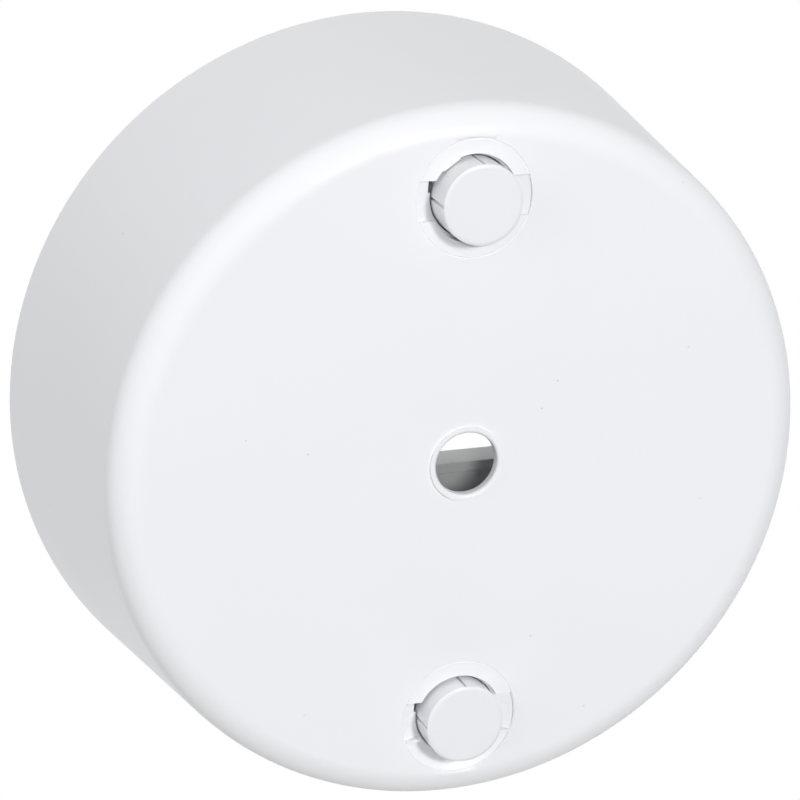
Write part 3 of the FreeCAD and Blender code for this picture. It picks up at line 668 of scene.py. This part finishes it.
def traced(node: str, name: str) -> bpy.types.Object:
    """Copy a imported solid's mesh, merged and cleared of flat seams.

    Args:
        node: The solid's node.
        name: Name of the copy.

    Returns:
        The copy.
    """
    piece = bpy.data.objects.new(name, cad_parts[node].data.copy())
    bpy.context.scene.collection.objects.link(piece)
    with editing(piece):
        bpy.ops.mesh.remove_doubles(threshold=MERGE_DISTANCE)
        bpy.ops.mesh.dissolve_limited(angle_limit=math.radians(FLAT_DEGREES))
    return piece


def turned(name: str, outline: Sequence[Flat], sides: int = 40) -> bpy.types.Object:
    """Build a closed turned solid by extruding and scaling a disc.

    Args:
        name: Name of the piece.
        outline: Radius and height of each step, in millimetres, from end to end.
        sides: Sides of the disc.

    Returns:
        The solid, round the upright axis.
    """
    radius, height = outline[0]
    bpy.ops.object.select_all(action="DESELECT")
    bpy.ops.mesh.primitive_circle_add(
        vertices=sides, radius=radius * MM, fill_type="NGON", location=(0.0, 0.0, height * MM)
    )
    item = bpy.context.object
    item.name = name
    bpy.ops.object.transform_apply(location=True, rotation=True, scale=True)
    with editing(item, "FACE"):
        for next_radius, next_height in outline[1:]:
            step = (0.0, 0.0, (next_height - height) * MM)
            bpy.ops.mesh.extrude_region_move(TRANSFORM_OT_translate={"value": step})
            share = next_radius / radius
            bpy.ops.transform.resize(
                value=(share, share, 1.0), center_override=(0.0, 0.0, next_height * MM)
            )
            radius, height = next_radius, next_height
    return item


def block(name: str, sides: Point) -> bpy.types.Object:
    """Add a plain cutting block around the origin.

    Args:
        name: Name of the block.
        sides: Its three sides, in millimetres.

    Returns:
        The block.
    """
    bpy.ops.object.select_all(action="DESELECT")
    bpy.ops.mesh.primitive_cube_add(
        size=1.0, location=(0.0, 0.0, 0.0), scale=[value * MM for value in sides]
    )
    item = bpy.context.object
    item.name = name
    return item


def placed_copy(
    item: bpy.types.Object, name: str, turn: float, place: Vector
) -> bpy.types.Object:
    """Copy a finished shape with its own mesh, turned and moved in the mesh.

    Args:
        item: The shape, at the origin.
        name: Name of the copy.
        turn: Turn about the upright axis, in degrees.
        place: Where the origin of the shape goes, in metres.

    Returns:
        The copy.
    """
    copy = bpy.data.objects.new(name, item.data.copy())
    bpy.context.scene.collection.objects.link(copy)
    copy.location = place
    copy.rotation_euler = (0.0, 0.0, math.radians(turn))
    pick(copy)
    bpy.ops.object.transform_apply(location=True, rotation=True, scale=True)
    return copy


def commit(
    piece: bpy.types.Object, material: bpy.types.Material, slot: str, body: str, *nodes: str
) -> None:
    """Give a piece its finish, its body and the solids that it stands for.

    Args:
        piece: The finished mesh.
        material: Its finish.
        slot: Material slot of the record; not used.
        body: The body that it rides.
        nodes: Solids that it replaces.
    """
    piece.data.materials.clear()
    piece.data.materials.append(material)
    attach(piece, body)
    if nodes:
        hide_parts(*nodes)
    LOG.info("%s: %d faces on %s", piece.name, len(piece.data.polygons), body)


# Finishes of the rose


@dataclass
class Finishes:
    """All finishes of the rose."""

    cover: bpy.types.Material = field(
        default_factory=lambda: MouldedPlastic(
            "cover_white", colour(240, 241, 244), colour(238, 239, 242)
        ).make()
    )
    # Knob tint is a little darker than the cover's white: painted shade that dims the knobs'
    # plastic.
    knob: bpy.types.Material = field(
        default_factory=lambda: MouldedPlastic(
            "knob_white", colour(237, 238, 241), colour(235, 236, 239)
        ).make()
    )
    plate: bpy.types.Material = field(
        default_factory=lambda: MouldedPlastic(
            "plate_white", colour(232, 235, 235), colour(226, 229, 228), roughness=0.4
        ).make()
    )
    housing: bpy.types.Material = field(
        default_factory=lambda: MouldedPlastic(
            "housing_cream", colour(228, 226, 214), colour(222, 220, 208), roughness=0.45
        ).make()
    )
    brass: bpy.types.Material = field(
        default_factory=lambda: CutMetal(
            "brass", colour(214, 182, 108), colour(196, 160, 88)
        ).make()
    )
    zinc: bpy.types.Material = field(
        default_factory=lambda: CutMetal(
            "screw_steel", colour(206, 207, 204), colour(184, 187, 184)
        ).make()
    )


# The pieces


@dataclass
class Moulding:
    """A piece traced from its solid, with the soft edges of the real one.

    The soft edge is in millimetres, with so many faces across it.
    """

    node: str
    finish: bpy.types.Material
    slot: str
    body: str
    soft_edge: float
    steps: int = 2

    def shape(self, ending: str) -> bpy.types.Object:
        """Trace the solid and soften its edges.

        Args:
            ending: Last word of the new piece's name.

        Returns:
            The piece, not yet shaded.
        """
        piece = traced(self.node, f"{self.node}_{ending}")
        soften(piece, self.soft_edge, self.steps)
        return piece

    def close(self, piece: bpy.types.Object) -> None:
        """Shade the piece and let it stand for its solid."""
        smooth(piece)
        commit(piece, self.finish, self.slot, self.body, self.node)

    def build(self, ending: str = "moulded") -> None:
        """Make the piece as its solid is."""
        self.close(self.shape(ending))


@dataclass
class Cover:
    """The tapered cup with its cord hole, keyed openings and fine ring lines.

    Lengths are in millimetres.
    """

    finish: bpy.types.Material
    front_level: float = -33.5
    knob_pitch: float = 60.0
    ring_radius: float = 6.6
    ring_line: float = 0.09
    soft_edge: float = 0.12

    def build(self) -> None:
        """Make the cover."""
        moulding = Moulding("cover", self.finish, "cover_white", "cover", self.soft_edge)
        shell = moulding.shape("shell")
        for side in Side:
            cut(shell, self._ring(side))
        moulding.close(shell)

    def _ring(self, side: Side) -> bpy.types.Object:
        """Add a thin ring that cuts the line round one opening.

        Args:
            side: The opening.

        Returns:
            The ring.
        """
        bpy.ops.object.select_all(action="DESELECT")
        bpy.ops.mesh.primitive_torus_add(
            location=(0.0, side.value * self.knob_pitch / 2 * MM, self.front_level * MM),
            major_radius=self.ring_radius * MM,
            minor_radius=self.ring_line * MM,
            major_segments=128,
            minor_segments=8,
        )
        return bpy.context.object


@dataclass
class Screw:
    """A cheese-head screw with a driver slot, seen head first from below.

    Lengths are in millimetres. The crown lists how far its points stand in
    from the side of the head, and how far up they are.
    """

    head: float
    head_height: float
    shaft: float
    thread: float = 3.0
    root: float = 2.5
    pitch: float = 0.5
    flank: float = 0.42
    slot: float = 0.7
    slot_share: float = 0.55
    crown: Sequence[Flat] = ((0.45, 0.0), (0.16, 0.05), (0.0, 0.25))
    head_chamfer: float = 0.1
    plain: float = 0.25
    run_out: float = 0.2
    tip_taper: float = 0.25
    soft_edge: float = 0.05
    length: float = field(init=False)

    def __post_init__(self) -> None:
        """Work out the whole length."""
        self.length = self.head_height + self.shaft

    def _outline(self) -> List[Flat]:
        """Work out the side of the screw.

        Returns:
            Radius and height of each step, from the head to the tip.
        """
        edge, core, crest = self.head / 2, self.root / 2, self.thread / 2
        outline: List[Flat] = [(edge - inset, height) for inset, height in self.crown]
        outline += [
            (edge, self.head_height - self.head_chamfer),
            (edge - self.head_chamfer, self.head_height),
            (core, self.head_height),
        ]
        level = self.head_height + self.plain
        while level + self.pitch < self.length - self.run_out:
            outline += [
                (core, level),
                (crest, level + self.pitch * self.flank),
                (crest, level + self.pitch * (1.0 - self.flank)),
            ]
            level += self.pitch
        outline += [(core, level), (core - self.tip_taper, self.length)]
        return outline

    def make(self, name: str) -> bpy.types.Object:
        """Turn the screw and cut its slot.

        Args:
            name: Name of the pattern piece.

        Returns:
            The screw at the origin, head down.
        """
        screw = turned(name, self._outline())
        depth = self.head_height * self.slot_share
        cut(screw, block("slot_tool", (self.head * 2, self.slot, depth * 2)))
        with editing(screw):
            bpy.ops.mesh.normals_make_consistent(inside=False)
        soften(screw, self.soft_edge, steps=1, degrees=40.0)
        smooth(screw)
        return screw

    def drive(
        self, pattern: bpy.types.Object, node: str, turn: float, finish: bpy.types.Material
    ) -> None:
        """Put one copy of the screw where a solid screw is.

        Args:
            pattern: The screw at the origin.
            node: The solid's node.
            turn: Turn of the driver slot, in degrees.
            finish: The screw's finish.
        """
        low, high = (Vector(corner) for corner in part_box(node))
        place = Vector(((low.x + high.x) / 2, (low.y + high.y) / 2, low.z))
        screw = placed_copy(pattern, f"{node}_cut", turn, place)
        commit(screw, finish, "screw_steel", "base", node)


@dataclass
class TerminalBlock:
    """Insulating housing with four brass clamps and their eight screws."""

    plastic: bpy.types.Material
    brass: bpy.types.Material
    steel: bpy.types.Material
    poles: int = 4
    housing_edge: float = 0.2
    clamp_edge: float = 0.12
    slot_turn: float = 47.0
    screw: Screw = field(default_factory=lambda: Screw(3.9, 1.8, 3.5))

    def build(self) -> None:
        """Make the housing, the clamps and the screws."""
        Moulding(
            "terminal_housing", self.plastic, "housing_cream", "base", self.housing_edge
        ).build()
        for number in range(1, self.poles + 1):
            node = f"terminal_clamp_{number}"
            Moulding(node, self.brass, "brass", "base", self.clamp_edge).build("drawn")
        pattern = self.screw.make("terminal_screw_pattern")
        for number in range(1, self.poles * 2 + 1):
            turn = number * self.slot_turn % HALF_TURN
            self.screw.drive(pattern, f"terminal_screw_{number}", turn, self.steel)
        bpy.data.objects.remove(pattern, do_unlink=True)


@dataclass
class CordClamp:
    """Clamp bar over the saddle with its two screws."""

    plastic: bpy.types.Material
    steel: bpy.types.Material
    bar_edge: float = 0.3
    slot_turns: Sequence[float] = (24.0, 131.0)
    screw: Screw = field(default_factory=lambda: Screw(5.4, 2.0, 8.4, slot=0.8))

    def build(self) -> None:
        """Make the bar and its screws."""
        Moulding(
            "cord_clamp_bar", self.plastic, "base_white", "base", self.bar_edge, 3
        ).build()
        pattern = self.screw.make("clamp_screw_pattern")
        for number, turn in enumerate(self.slot_turns, start=1):
            self.screw.drive(pattern, f"cord_clamp_screw_{number}", turn, self.steel)
        bpy.data.objects.remove(pattern, do_unlink=True)


def main() -> None:
    """Build the looks piece by piece."""
    finishes = Finishes()
    Cover(finishes.cover).build()
    for side in Side:
        node = "knob_" + side.name.lower()
        Moulding(node, finishes.knob, "knob_white", node, soft_edge=0.06).build("turned")
    Moulding("base_plate", finishes.plate, "base_white", "base", soft_edge=0.18).build()
    TerminalBlock(finishes.housing, finishes.brass, finishes.zinc).build()
    CordClamp(finishes.plate, finishes.zinc).build()
    Studio().build()


if __name__ == "__main__":
    main()
